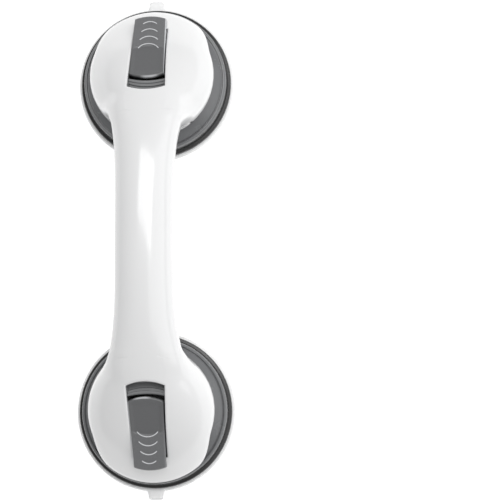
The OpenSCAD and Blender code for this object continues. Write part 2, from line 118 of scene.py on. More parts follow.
class HandleSizes(bpy.types.PropertyGroup):
    cup_axis: length("Cup axis", CUP_AXIS, "Distance of each cup axis from the middle of the bar")
    top: length("Grip top", BAR_TOP, "Height of the grip's top line")
    hand_gap: length("Hand gap", 0.0485, "Clear height under the middle of the grip")
    grip_width: length("Grip width", 0.0328, "Width of the grip at its middle")
    grip_flare: length("Grip flare", 0.003, "Extra half width where the grip meets a head")
    crown_drop: length("Crown drop", 0.013, "Drop from the top line to the widest line")
    arch_reach: length("Arch reach", 0.098, "Length over which the grip curves down to a cup axis")
    head_radius: length("Head radius", 0.0367, "Radius of the round head")
    tongue_radius: length("Tongue radius", 0.0416, "Radius of the head's outer tongue")
    rim_height: length("Rim height", 0.0255, "Height of the head's lower edge")
    tongue_height: length("Tongue height", 0.0138, "Height of the tongue's lower edge")
    wall: length("Wall", 0.0024, "Wall of both handle shells")
    seam: length("Seam", 0.0002, "Parting gap between the two shells")
    slot_width: length("Slot width", 0.0218, "Width of the lever slot at its inner end")
    slot_taper: length("Slot taper", 0.0013, "How much narrower each side of the slot is at its outer end")
    slot_inner: length("Slot inner end", 0.015, "Slot end on the grip side, from the cup axis")
    slot_outer: length("Slot outer end", 0.0285, "Slot end on the outer side, from the cup axis")
    slot_bow: length("Slot end radius", 0.0275, "Radius of the slot's curved ends")
    slot_fillet: length("Slot fillet", 0.0013, "Rounding of the slot's upper edge")
    edge_round: length("Edge rounding", 0.0004, "Rounding of the shells' outer edges")


class LeverSizes(bpy.types.PropertyGroup):
    inner: length("Inner end", 0.0069, "Lever end on the grip side, from the cup axis")
    outer: length("Outer end", 0.0344, "Lever tip, from the cup axis")
    inner_width: length("Inner width", 0.0204, "Lever width at its inner end")
    outer_width: length("Outer width", 0.0184, "Lever width at its tip")
    inner_top: length("Inner top", 0.0536, "Height of the inner top edge")
    outer_top: length("Outer top", 0.033, "Height of the outer top edge")
    end_radius: length("End radius", 0.024, "Radius of the lever's curved ends")
    plate: length("Plate", 0.0036, "Thickness of the top plate")
    skirt: length("Skirt", 0.0016, "Thickness of the side skirts")
    edge_round: length("Edge rounding", 0.0009, "Rounding of the upper edges")
    dish: length("Thumb dish", 0.0005, "Depth of the thumb dish")
    ridge_height: length("Ridge height", 0.0005, "Height of the raised arcs")
    ridge_width: length("Ridge width", 0.0006, "Width of the raised arcs")
    side_play: length("Side play", 0.0004, "How far the levers sit to one side of their slots")
    ridges: IntProperty(name="Ridges", description="Number of raised arcs", default=4, min=2, max=5)


class CupSizes(bpy.types.PropertyGroup):
    radius: length("Cup radius", 0.0468, "Outer radius of the soft cup")
    land: length("Sealing land", 0.006, "Width of the flat sealing land")
    dome: length("Dome", 0.0065, "Height of the hollow under the cup's centre")
    web: length("Web", 0.003, "Thickness of the cup's web")
    boss: length("Boss radius", 0.013, "Radius of the cup's centre boss")
    boss_top: length("Boss top", 0.0175, "Height of the boss")
    tab_reach: length("Tab reach", 0.0052, "Reach of the peel tab beyond the cup's edge")
    tab_width: length("Tab width", 0.0076, "Width of the peel tab at its tip")
    skirt_radius: length("Skirt radius", 0.045, "Outer radius of the housing's skirt")
    shoulder_radius: length("Shoulder radius", 0.0418, "Radius of the housing's shoulder edge")
    shoulder_height: length("Shoulder height", 0.0124, "Height of the shoulder edge")
    neck_radius: length("Neck radius", 0.0332, "Radius of the housing's neck")
    neck_top: length("Neck top", 0.0252, "Height of the housing's top plate")


class Finishes(bpy.types.PropertyGroup):
    shell: colour("Shell", (0.745, 0.747, 0.75), "Gloss white of the handle shells")
    housing: colour("Housing", (0.15, 0.153, 0.158), "Satin grey of the cup housings")
    lever: colour("Lever", (0.135, 0.137, 0.141), "Fine-grained grey of the levers")
    well: colour("Well", (0.15, 0.153, 0.157), "Grey of the trays round the levers")
    cup: colour("Cup", (0.98, 0.985, 0.99), "Frosted clear elastomer of the cups")
    steel: colour("Steel", (0.56, 0.57, 0.58), "Bright steel of pins, screws and springs")
    stem: colour("Stem", (0.6, 0.6, 0.59), "Pale engineering plastic of the stems")
    gloss: share("Shell roughness", 0.16, "Roughness of the gloss shells")


class StageLook(bpy.types.PropertyGroup):
    floor: colour("Floor", (0.93, 0.93, 0.93), "Pale studio floor")
    fill: FloatProperty(name="Fill", description="Strength of the sky light", default=0.45, min=0)
    glow: FloatProperty(name="Floor glow", description="Light that the floor gives off", default=0.42, min=0)
    lens: FloatProperty(name="Lens", description="Focal length in millimetres", default=122.09, min=1)


SETTINGS = {
    "grab_handle": HandleSizes,
    "grab_lever": LeverSizes,
    "grab_cup": CupSizes,
    "grab_finish": Finishes,
    "grab_stage": StageLook,
}


# ------------------------------------------------------------------- helpers


def deselect():
    if bpy.context.mode != "OBJECT":
        bpy.ops.object.mode_set(mode="OBJECT")
    bpy.ops.object.select_all(action="DESELECT")


def activate(piece):
    deselect()
    piece.select_set(True)
    bpy.context.view_layer.objects.active = piece


def start_piece(name):
    """Names the primitive that was just added and puts its place in its mesh."""
    piece = bpy.context.object
    piece.name = name
    piece.data.name = name
    bpy.ops.object.transform_apply(location=True, rotation=True, scale=True)
    return piece


def points_of(piece):
    flat = np.empty(len(piece.data.vertices) * 3, np.float32)
    piece.data.vertices.foreach_get("co", flat)
    return flat.reshape(-1, 3).astype(float)


def set_points(piece, points):
    piece.data.vertices.foreach_set("co", np.asarray(points, np.float32).ravel())
    piece.data.update()


def select_faces(piece, test):
    """Selects in object mode, so that edit mode opens with just those faces."""
    bpy.ops.object.mode_set(mode="OBJECT")
    mesh = piece.data
    chosen = [bool(test(face)) for face in mesh.polygons]
    mesh.vertices.foreach_set("select", [False] * len(mesh.vertices))
    mesh.edges.foreach_set("select", [False] * len(mesh.edges))
    mesh.polygons.foreach_set("select", chosen)
    bpy.ops.object.mode_set(mode="EDIT")
    bpy.ops.mesh.select_mode(type="FACE")


def apply_modifier(piece, kind, **values):
    activate(piece)
    modifier = piece.modifiers.new(kind.title(), kind)
    for key, value in values.items():
        setattr(modifier, key, value)
    bpy.ops.object.modifier_apply(modifier=modifier.name)


def smooth(piece, degrees=35):
    activate(piece)
    bpy.ops.object.shade_smooth_by_angle(angle=math.radians(degrees))


def combine(piece, cutter, operation):
    """Boolean of two closed solids; the second one is used up."""
    apply_modifier(piece, "BOOLEAN", operation=operation, object=cutter, solver="EXACT")
    bpy.data.objects.remove(cutter)


def laid_grid(name, grid):
    """A sheet of faces laid on a grid of places, rows by columns."""
    rows, columns = grid.shape[:2]
    deselect()
    bpy.ops.mesh.primitive_grid_add(x_subdivisions=columns - 1, y_subdivisions=rows - 1, size=1)
    piece = start_piece(name)
    set_points(piece, grid.reshape(-1, 3))
    return piece


def both_ways(half):
    """Rows from one end to the other, from those of one half."""
    return np.concatenate([-half[:0:-1], half])


def handle_sizes():
    return bpy.context.scene.grab_handle


def join(pieces):
    deselect()
    for piece in pieces:
        piece.select_set(True)
    bpy.context.view_layer.objects.active = pieces[0]
    bpy.ops.object.join()
    return pieces[0]


def turned(name, rings, steps, centre=(0, 0)):
    """A closed turned solid: a circle extruded and resized from ring to ring.

    rings holds (radius, height) pairs. When the first and last radius are zero, both ends close on
    the axis; otherwise the last ring is joined to the first.
    """
    open_rings = [ring for ring in rings if ring[0] > 0]
    first, height = open_rings[0]
    deselect()
    bpy.ops.mesh.primitive_circle_add(
        vertices=steps, radius=first, fill_type="NOTHING", location=(*centre, height)
    )
    piece = start_piece(name)
    bpy.ops.object.mode_set(mode="EDIT")
    bpy.ops.mesh.select_mode(type="VERT")
    for (r0, z0), (r1, z1) in zip(open_rings, open_rings[1:]):
        bpy.ops.mesh.extrude_region()
        bpy.ops.transform.resize(value=(r1 / r0, r1 / r0, 1), center_override=(*centre, z0))
        bpy.ops.transform.translate(value=(0, 0, z1 - z0))
    if rings[-1][0] == 0:
        close_pole()
        bpy.ops.object.mode_set(mode="OBJECT")
        select_points(piece, [index < steps for index in range(len(piece.data.vertices))])
        close_pole()
        set_pole_heights(piece, centre, rings)
    else:
        bpy.ops.object.mode_set(mode="OBJECT")
        count = len(piece.data.vertices)
        chosen = [index < steps or index >= count - steps for index in range(count)]
        select_points(piece, chosen)
        bpy.ops.mesh.select_mode(type="EDGE")
        bpy.ops.mesh.bridge_edge_loops()
    bpy.ops.mesh.select_all(action="SELECT")
    bpy.ops.mesh.normals_make_consistent(inside=False)
    bpy.ops.object.mode_set(mode="OBJECT")
    return piece


def select_points(piece, chosen):
    mesh = piece.data
    on = np.array(chosen, bool)
    ends = np.empty(len(mesh.edges) * 2, np.int32)
    mesh.edges.foreach_get("vertices", ends)
    mesh.polygons.foreach_set("select", [False] * len(mesh.polygons))
    mesh.vertices.foreach_set("select", on)
    mesh.edges.foreach_set("select", on[ends.reshape(-1, 2)].all(1))
    bpy.ops.object.mode_set(mode="EDIT")
    bpy.ops.mesh.select_mode(type="VERT")


def close_pole():
    """Closes the selected ring on its middle."""
    bpy.ops.mesh.extrude_region()
    bpy.ops.mesh.merge(type="COLLAPSE")


def set_pole_heights(piece, centre, rings):
    bpy.ops.object.mode_set(mode="OBJECT")
    points = points_of(piece)
    near = np.hypot(points[:, 0] - centre[0], points[:, 1] - centre[1]) < TINY
    poles = np.flatnonzero(near)
    heights = sorted((rings[0][1], rings[-1][1]))
    for index, height in zip(poles[np.argsort(points[poles, 2])], heights):
        points[index, 2] = height
    set_points(piece, points)
    bpy.ops.object.mode_set(mode="EDIT")


def prism(name, outline, x_low, x_high):
    """A side view, given as (y, z) points, extruded along X from one plane to another."""
    deselect()
    bpy.ops.mesh.primitive_circle_add(vertices=len(outline), fill_type="NGON")
    piece = start_piece(name)
    set_points(piece, [(x_low, y, z) for y, z in outline])
    bpy.ops.object.mode_set(mode="EDIT")
    bpy.ops.mesh.select_all(action="SELECT")
    bpy.ops.mesh.extrude_region_move(TRANSFORM_OT_translate={"value": (x_high - x_low, 0, 0)})
    bpy.ops.mesh.select_all(action="SELECT")
    bpy.ops.mesh.normals_make_consistent(inside=False)
    bpy.ops.object.mode_set(mode="OBJECT")
    return piece


def box_solid(name, low, high):
    deselect()
    centre = [(a + b) / 2 for a, b in zip(low, high)]
    bpy.ops.mesh.primitive_cube_add(size=1, location=centre, scale=[b - a for a, b in zip(low, high)])
    return start_piece(name)


def frame_copy(name, node):
    """A welded copy of a CAD node, to be smoothed as a piece of its own."""
    source = frame["nodes"][node]
    deselect()
    source.hide_set(False)
    source.select_set(True)
    bpy.context.view_layer.objects.active = source
    bpy.ops.object.duplicate()
    piece = bpy.context.object
    piece.parent = None
    piece.name = name
    piece.data.name = name
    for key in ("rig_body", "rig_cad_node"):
        if key in piece:
            del piece[key]
    piece.data.materials.clear()
    if piece.data.has_custom_normals:
        bpy.ops.mesh.customdata_custom_splitnormals_clear()
    bpy.ops.object.mode_set(mode="EDIT")
    bpy.ops.mesh.select_all(action="SELECT")
    bpy.ops.mesh.remove_doubles(threshold=2e-6)
    bpy.ops.mesh.dissolve_limited(angle_limit=math.radians(0.5))
    bpy.ops.object.mode_set(mode="OBJECT")
    return piece


def other_end(piece, name):
    """A copy for the front end, turned half a turn about the bar's middle, with its own mesh."""
    activate(piece)
    bpy.ops.object.duplicate()
    copy = bpy.context.object
    copy.name = name
    copy.data.name = name
    points = points_of(copy)
    points[:, :2] *= -1
    set_points(copy, points)
    return copy


def both_ends(rear, front_name):
    """The rear piece and its copy for the front, each with the name of its end."""
    return (REAR, rear), (FRONT, other_end(rear, front_name))


def dress(piece, material):
    piece.data.materials.clear()
    piece.data.materials.append(material)


def settle(piece, body, slot, finish, *nodes):
    dress(piece, finish_of(finish))
    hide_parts(*nodes)
    if body:
        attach(piece, body)


def smoothstep(value):
    value = np.clip(value, 0, 1)
    return value * value * (3 - 2 * value)


# ----------------------------------------------------------- handle contours

BLEND = 0.01
CROWN_END_RISE = 0.0007
CROWN_POWERS = (2.4, 1.15)
UNDER_POWER = 6
FLARE_POWER = 4
GRIP_POWER = 2.2
DOME_POWER = 2.1
TONGUE_TURN = (72, 38)
FADE_LENGTH = 0.025
PARTING = (0.056, 0.070)
KEEL = 0.0008


def soft_max(a, b):
    reach = np.clip(np.maximum(a, b), TINY, BLEND)
    over = np.maximum(0, reach - np.abs(a - b))
    return np.maximum(a, b) + over * over / (4 * reach)


class Contour:
    """The handle's cross sections along Y, at an inset from its outer skin."""

    def __init__(self, sizes, inset=0.0):
        self.s = sizes
        self.inset = inset
        angles = np.radians(np.linspace(90, 2.5, 500))
        start, stop = TONGUE_TURN
        turn = smoothstep((start - np.degrees(angles)) / (start - stop))
        radius = sizes.head_radius - inset + (sizes.tongue_radius - sizes.head_radius) * turn
        self.ys = sizes.cup_axis + radius * np.cos(angles)
        self.halves = radius * np.sin(angles)
        self.rims = sizes.rim_height - (sizes.rim_height - sizes.tongue_height) * turn
        self.neck = sizes.arch_reach - sizes.head_radius

    def arch(self, y):
        return max(0, abs(y) - (self.s.cup_axis - self.s.arch_reach))

    def top(self, y):
        s = self.s
        low = s.tongue_height + CROWN_END_RISE
        along = min(1, self.arch(y) / (s.arch_reach + s.tongue_radius - self.inset))
        fall = (1 - along ** CROWN_POWERS[0]) ** (1 / CROWN_POWERS[1])
        return low + (s.top - self.inset - low) * fall

    def under(self, y):
        s = self.s
        along = min(1, self.arch(y) / (self.neck + self.inset))
        return s.hand_gap + self.inset - (s.hand_gap - s.rim_height) * along**UNDER_POWER

    def widest(self, y):
        return self.outer().top(y) - self.s.crown_drop

    def outer(self):
        return self if self.inset == 0 else OUTER["contour"]

    def station(self, y):
        """Half width and height of the head's edge."""
        s = self.s
        y = abs(y)
        if y <= s.cup_axis:
            reach = s.head_radius - self.inset
            return math.sqrt(max(0, reach**2 - (s.cup_axis - y) ** 2)), s.rim_height
        return np.interp(y, self.ys, self.halves), np.interp(y, self.ys, self.rims)

    def half_width(self, y, z):
        s = self.s
        foot_half, foot = self.station(y)
        crown = self.top(y)
        waist = self.widest(y)
        run = np.where(z > waist, crown - waist, waist - self.under(y))
        flare = s.grip_flare * min(1.1, self.arch(y) / self.neck) ** FLARE_POWER
        fade = 1 - smoothstep((self.arch(y) - s.arch_reach + FADE_LENGTH) / FADE_LENGTH)
        off = np.abs(z - waist) / np.maximum(TINY, run)
        grip = np.maximum(0, 1 - off**GRIP_POWER) ** (1 / GRIP_POWER)
        grip = grip * fade * (s.grip_width / 2 - self.inset + flare)
        rise = np.maximum(0, z - foot) / (crown - foot)
        head = foot_half * np.maximum(0, 1 - rise**DOME_POWER) ** (1 / DOME_POWER)
        return soft_max(grip, head)

    def parting(self, y):
        y = abs(y)
        waist = self.widest(y)
        if y > PARTING[1]:
            return self.outer().station(y)[1]
        along = smoothstep((y - PARTING[0]) / (PARTING[1] - PARTING[0]))
        return waist + (self.s.rim_height + self.s.wall - waist) * along


OUTER = {}


def arc_lengths(line):
    steps = np.hypot(*np.diff(line, axis=0).T)
    return np.concatenate([[0], np.cumsum(steps)])


def along_line(line, distances):
    lengths = arc_lengths(line)
    return np.stack([np.interp(distances, lengths, line[:, k]) for k in (0, 1)], 1)


# ------------------------------------------------------------- handle shells


def rounded_drop(distance, radius):
    """Drop of a rounded edge at a distance from the edge."""
    inside = np.clip(radius - distance, 0, radius)
    return radius - np.sqrt(np.maximum(0, radius**2 - inside**2))


def slot_half(sizes, y):
    """Half width of the slot, which narrows a little outwards."""
    inner, outer = slot_corner(sizes)
    return sizes.slot_width / 2 - sizes.slot_taper * np.clip((np.abs(y) - inner) / (outer - inner), 0, 1)


def slot_bow(sizes, x):
    half = sizes.slot_width / 2
    across = np.minimum(np.abs(x), half)
    bow = sizes.slot_bow
    return np.sqrt(bow**2 - across**2) - math.sqrt(bow**2 - half**2)


def slot_corner(sizes):
    """Y of the slot's inner and outer corners, from the middle of the bar."""
    sag = sizes.slot_bow - math.sqrt(sizes.slot_bow**2 - (sizes.slot_width / 2) ** 2)
    return (
        sizes.cup_axis - sizes.slot_inner + sag,
        sizes.cup_axis + sizes.slot_outer - sag,
    )


FILLET_SHARES = (0.09, 0.22, 0.4, 0.62, 0.85, 1.1, 1.5)


def top_rows(sizes):
    """Y of the mesh rows on one half of the top shell, dense where the form turns."""
    inner, outer = slot_corner(sizes)
    fillet = [sizes.slot_fillet * share for share in FILLET_SHARES]
    end = sizes.cup_axis + sizes.tongue_radius
    rows = list(np.arange(0, 0.055, 0.002))
    rows += list(np.arange(0.055, 0.0735, 0.0007))
    rows += list(np.linspace(0.074, inner - fillet[-1] - 0.001, 8))
    rows += [inner - step for step in fillet[::-1]] + [inner]
    rows += list(np.linspace(inner, outer, 24)[1:-1])
    rows += [outer] + [outer + step for step in fillet]
    last = outer + fillet[-1]
    turn = np.linspace(0, math.pi / 2, 17)[1:]
    rows += list(last + (end - 2e-5 - last) * np.sin(turn))
    return np.array(rows)


def row_shift(sizes, y, x):
    """How far a row bows outwards at x, so that rows run along the slot's curved ends."""
    inner, outer = slot_corner(sizes)
    reach = 0.009
    near_in = np.clip(1 - abs(abs(y) - inner) / reach, 0, 1)
    near_out = np.clip(1 - abs(abs(y) - outer) / reach, 0, 1)
    room = (sizes.cup_axis + sizes.tongue_radius - abs(y)) / reach
    return slot_bow(sizes, x) * (min(near_out, max(0, room)) - near_in)


def section_line(contour, y, foot):
    """Right half of a section as (x, z) from its foot to the crown."""
    crown = contour.top(y)
    heights = foot + (crown - foot) * np.sin(np.linspace(0, math.pi / 2, 320))
    halves = contour.half_width(y, heights)
    line = np.stack([halves, heights], 1)
    line[-1] = (0, crown)
    return line


SLOT_CELLS = 8
SIDE_CELLS = 17


def top_skin(contour, rows):
    """Grid points of the top shell: rows along Y, columns from -X over the crown to +X."""
    sizes = contour.s
    fillet = np.array([sizes.slot_fillet * part for part in FILLET_SHARES])
    spread = 1 - np.cos(np.linspace(0, math.pi / 2, SIDE_CELLS + 1)[1:]) ** 1.2
    grid = []
    for y in rows:
        full = OUTER["contour"].station(y)[0] if abs(y) > PARTING[1] else sizes.grip_width / 2
        inner_y = squeezed(sizes, contour, y) if contour.inset else y
        foot = contour.parting(y) + sizes.seam / 2
        line = section_line(contour, inner_y, foot)
        widest = line[:, 0].max()
        half = min(slot_half(sizes, y), 0.45 * full, 0.6 * widest)
        scale = half / (sizes.slot_width / 2)
        above = np.flatnonzero(line[:, 0] >= half)
        upper = line[above[-1] + 1 if len(above) else 0:]
        inside = np.linspace(0, half, SLOT_CELLS + 1)
        beside = np.minimum(half + fillet * scale, half + 0.8 * (widest - half))
        right = [(x, y) for x in inside] + [(x, y) for x in beside]
        points = []
        for x, row in right:
            shifted = inner_y + math.copysign(1, y) * float(row_shift(sizes, y, x))
            points.append((x, shifted, crown_height(contour, shifted, x)))
        start = np.searchsorted(-upper_branch(line)[:, 0], -beside[-1])
        branch = line[: len(line) - len(upper_branch(line)) + start][::-1]
        branch = np.vstack([[beside[-1], points[-1][2]], branch[branch[:, 1] < points[-1][2]]])
        lengths = arc_lengths(branch)
        for x, z in along_line(branch, spread * lengths[-1]):
            points.append((x, inner_y, z))
        points = np.array(points)
        mirrored = points[:0:-1] * (-1, 1, 1)
        grid.append(np.vstack([mirrored, points]))
    return np.array(grid)


def upper_branch(line):
    """The part of a section above its widest point."""
    return line[int(np.argmax(line[:, 0])):]


def crown_height(contour, y, x):
    """Height of the skin at a point in plan, between the widest line and the crown."""
    crown = contour.top(y)
    heights = crown - (crown - contour.s.tongue_height) * np.linspace(0, 1, 500) ** 2
    halves = contour.half_width(y, heights)
    halves[0] = 0
    reach = np.flatnonzero(halves >= x)
    if not len(reach):
        return heights[int(np.argmax(halves))]
    stop = reach[0] + 1
    return np.interp(x, halves[:stop], heights[:stop])


def squeezed(sizes, contour, y):
    """Y of an inner row: the outer rows, drawn in past the slot so that they end inside the tip."""
    _, corner = slot_corner(sizes)
    start = corner + sizes.slot_fillet * FILLET_SHARES[-1]
    end = sizes.cup_axis + sizes.tongue_radius
    if abs(y) <= start:
        return y
    stop = end - contour.inset - 1e-4
    return math.copysign(start + (abs(y) - start) * (stop - start) / (end - start), y)


def round_edges(sizes, grid):
    """Rounds the slot's upper edge."""
    half = slot_half(sizes, grid[..., 1])
    x, y = np.abs(grid[..., 0]), np.abs(grid[..., 1])
    inner, outer = slot_corner(sizes)
    bow = slot_bow(sizes, grid[..., 0])
    aside = np.maximum(0, x - half)
    ahead = np.maximum(0, np.maximum(inner - bow - y, y - outer - bow))
    grid[..., 2] -= rounded_drop(np.hypot(aside, ahead), sizes.slot_fillet)


def turn_in(grid, sizes):
    """Turns the outermost columns in a little."""
    for column in (0, -1):
        edge = grid[:, column]
        y = edge[:, 1]
        centre = np.sign(y) * np.minimum(np.abs(y), sizes.cup_axis)
        outward = np.stack([edge[:, 0], np.where(np.abs(y) > sizes.cup_axis, y - centre, 0)], 1)
        outward /= np.maximum(TINY, np.linalg.norm(outward, axis=1))[:, None]
        edge[:, :2] -= outward * sizes.edge_round


def shell_from_grids(name, outer, inner, keep=None):
    """A closed wall: a grid laid on the outer skin, thickened, its inner side laid on the other."""
    piece = laid_grid(name, outer)
    seats = piece.data.attributes.new("seat", "INT", "POINT")
    seats.data.foreach_set("value", np.arange(len(piece.data.vertices), dtype=np.int32))
    if keep is not None:
        select_faces(piece, lambda face: not keep(face.center))
        bpy.ops.mesh.delete(type="FACE")
        bpy.ops.object.mode_set(mode="OBJECT")
    count = len(piece.data.vertices)
    apply_modifier(piece, "SOLIDIFY", thickness=0.001, offset=-1, use_rim=True)
    order = np.empty(len(piece.data.vertices), np.int32)
    piece.data.attributes["seat"].data.foreach_get("value", order)
    points = points_of(piece)
    points[count:] = inner.reshape(-1, 3)[order[count:]]
    set_points(piece, points)
    piece.data.attributes.remove(piece.data.attributes["seat"])
    return piece


def build_top_shell(sizes):
    OUTER["contour"] = Contour(sizes)
    inner_contour = Contour(sizes, sizes.wall)
    rows = both_ways(top_rows(sizes))
    outer = top_skin(OUTER["contour"], rows)
    inner = top_skin(inner_contour, rows)
    flat = np.abs(np.arange(outer.shape[1]) - outer.shape[1] // 2) <= SLOT_CELLS
    inner[:, flat, 0] = outer[:, flat, 0]
    round_edges(sizes, outer)
    turn_in(outer, sizes)
    corner_in, corner_out = slot_corner(sizes)

    def keep(place):
        bow = float(slot_bow(sizes, place.x))
        inside = corner_in - bow < abs(place.y) < corner_out + bow
        return not (inside and abs(place.x) < slot_half(sizes, place.y))

    piece = shell_from_grids("top_shell", outer, inner, keep)
    smooth(piece, 40)
    return piece


def keel_grid(contour, rows, cells=30):
    sizes = contour.s
    grid = []
    for y in rows:
        foot = contour.parting(y) - sizes.seam / 2
        low = max(contour.under(y), sizes.rim_height + contour.inset)
        heights = foot + (low - foot) * np.sin(np.linspace(0, math.pi / 2, 200))
        halves = np.maximum(KEEL, contour.half_width(y, heights))
        line = np.vstack([np.stack([halves, heights], 1), [0, low]])
        lengths = arc_lengths(line)
        shares = np.concatenate([[0, 0.01], np.linspace(0.03, 1, cells)])
        points = along_line(line, shares * lengths[-1])
        right = np.stack([points[:, 0], np.full(len(points), y), points[:, 1]], 1)
        grid.append(np.vstack([right, right[-2::-1] * (-1, 1, 1)]))
    return np.array(grid)


TURRET = (0.01, 0.0078, 0.009)
TURRET_TOP = 0.0306
SPRING_SEAT = TURRET_TOP - 0.002
BORE_FOOT = 0.01
STEM_BORE = 0.00405
SPRING_BORE = 0.0063
TONGUE_GAP = 0.0023
FLOOR_GAP = 0.0008
FLOOR_OUT = 0.018
TURRET_CUT = (0.0115, 0.016, 0.0115)
SCREW_POS = 0.017
BOSS_RADIUS = 0.0032
BOSS_TOP = 0.032
SHANK_BORE = 0.00145
HEAD_BORE = 0.003
GRIP_SCREWS = (0.08, 0.22)
SCREW_SEAT = 0.006
SCREW_PLAY = 0.00015
KEEL_BEND = 0.05


def screw_places(centre):
    """The four housing screws round a cup axis."""
    return [(x, y) for x in (-SCREW_POS, SCREW_POS) for y in (centre - SCREW_POS, centre + SCREW_POS)]


def cylinder(name, radius, low, high, x, y, steps=32):
    return turned(name, [(0, low), (radius, low), (radius, high), (0, high)], steps, (x, y))


def drill(piece, radius, low, high, x, y, steps=32):
    combine(piece, cylinder("bore", radius, low, high, x, y, steps), "DIFFERENCE")


def cut_box(piece, half, ends, top):
    """Cuts a box out, as wide as twice half, between two places along Y."""
    combine(piece, box_solid("cut", (-half, min(ends), 0), (half, max(ends), top)), "DIFFERENCE")


def build_bottom_shell(sizes):
    """The bottom shell: a thin keel, a floor in each head, screw bosses and grip posts."""
    outer_contour = OUTER["contour"]
    inner_contour = Contour(sizes, sizes.wall)
    grip_rows = np.arange(0, KEEL_BEND, 0.0025)
    bend_rows = np.arange(KEEL_BEND, PARTING[1] + 0.0002, 0.0008)
    rows = both_ways(np.concatenate([grip_rows, bend_rows, [PARTING[1]]]))
    outer = keel_grid(outer_contour, rows)
    inner = keel_grid(inner_contour, rows)
    turn_in(outer, sizes)
    piece = shell_from_grids("bottom_shell", outer, inner)
    floor, top = sizes.rim_height, sizes.rim_height + sizes.wall
    radius = sizes.head_radius - sizes.wall - FLOOR_GAP
    for sign in (-1, 1):
        centre = sign * sizes.cup_axis
        disc = cylinder("floor", radius, floor, top, 0, centre, 96)
        cut_box(disc, radius, (centre + sign * FLOOR_OUT, centre + sign * 2 * radius), 2 * top)
        half, back, ahead = TURRET_CUT
        cut_box(disc, half, (centre - sign * back, centre + sign * ahead), 2 * top)
        combine(piece, disc, "UNION")
        for x, y in screw_places(centre):
            combine(piece, cylinder("boss", BOSS_RADIUS, floor, BOSS_TOP, x, y), "UNION")
            drill(piece, SHANK_BORE, floor - 0.001, BOSS_TOP - 0.001, x, y)
        for part in GRIP_SCREWS:
            y = 2 * centre * part
            seat = outer_contour.under(y) + SCREW_SEAT
            height = outer_contour.widest(0) - sizes.hand_gap - 0.004
            post = cylinder("post", BOSS_RADIUS + 0.001, seat - 0.005, seat - 0.005 + height, 0, y)
            combine(piece, post, "UNION")
            drill(piece, HEAD_BORE, seat - 0.009, seat, 0, y)
            drill(piece, SHANK_BORE + SCREW_PLAY, seat - 0.001, seat + 0.019, 0, y)
    smooth(piece, 32)
    return piece


# ---------------------------------------------------------------------- cups


def build_housing(sizes):
    """The rear housing: turned, with its turret, bores and the cut that clears the head's tongue."""
    skirt, shoulder, neck = sizes.skirt_radius, sizes.shoulder_radius, sizes.neck_radius
    edge, plate = sizes.shoulder_height, sizes.neck_top
    slope = plate - 0.008
    wall, roof = 0.0024, 0.0028
    outside = [
        (skirt - 0.0005, 0.0027), (skirt - 0.00015, 0.0028), (skirt, 0.0032), (skirt, 0.0051),
        (skirt - 0.00012, 0.0055), (skirt - 0.0005, 0.0059), (skirt - 0.0017, 0.0062),
        (skirt - 0.0021, 0.0066), (skirt - 0.0022, 0.0074), (shoulder + 0.0007, edge - 0.0009),
        (shoulder + 0.00055, edge - 0.0004), (shoulder + 0.0002, edge + 0.0001),
        (shoulder - 0.0003, edge + 0.0004), (shoulder - 0.0009, edge + 0.0004), (shoulder - 0.0012, edge),
        (shoulder - 0.0013, edge - 0.0006), (shoulder - 0.0018, edge - 0.0006),
        (shoulder - 0.0019, edge + 0.0004), (shoulder - 0.0024, edge + 0.0009),
        (neck + 0.0014, slope - 0.0005), (neck + 0.0008, slope - 0.0001),
        (neck + 0.0003, slope + 0.0005), (neck, slope + 0.0016), (neck, plate - 0.0003),
        (neck - 0.0003, plate), (0, plate),
    ]
    inside = [
        (0, plate - roof), (neck - wall, plate - roof), (neck - wall, slope - 0.001),
        (shoulder - wall, edge - wall), (skirt - 0.003, 0.0044), (skirt - 0.003, 0.0027),
    ]
    piece = turned("rear_housing", inside + outside, 160, (0, CUP_AXIS))
    x, back, ahead = TURRET
    turret = box_solid("turret", (-x, CUP_AXIS - back, plate - 0.001), (x, CUP_AXIS + ahead, TURRET_TOP))
    combine(piece, turret, "UNION")
    drill(piece, STEM_BORE, BORE_FOOT, BAR_TOP, 0, CUP_AXIS, 48)
    drill(piece, SPRING_BORE, BORE_FOOT, SPRING_SEAT, 0, CUP_AXIS, 48)
    for x, y in screw_places(CUP_AXIS):
        drill(piece, SHANK_BORE + SCREW_PLAY, BORE_FOOT, BAR_TOP, x, y)
    start, reach = 0.02, shoulder - 0.022
    line = [start + reach * k / 12 for k in range(13)]
    inner = Contour(handle_sizes(), handle_sizes().wall)
    roof = [(CUP_AXIS + y, min(plate + 0.0003, inner.top(CUP_AXIS + y) - TONGUE_GAP)) for y in line]
    roof += [(CUP_AXIS + shoulder - 0.002, plate + 0.001), (CUP_AXIS + start, plate + 0.001)]
    combine(piece, prism("cut", roof, -neck - 0.002, neck + 0.002), "DIFFERENCE")
    smooth(piece, 30)
    return piece


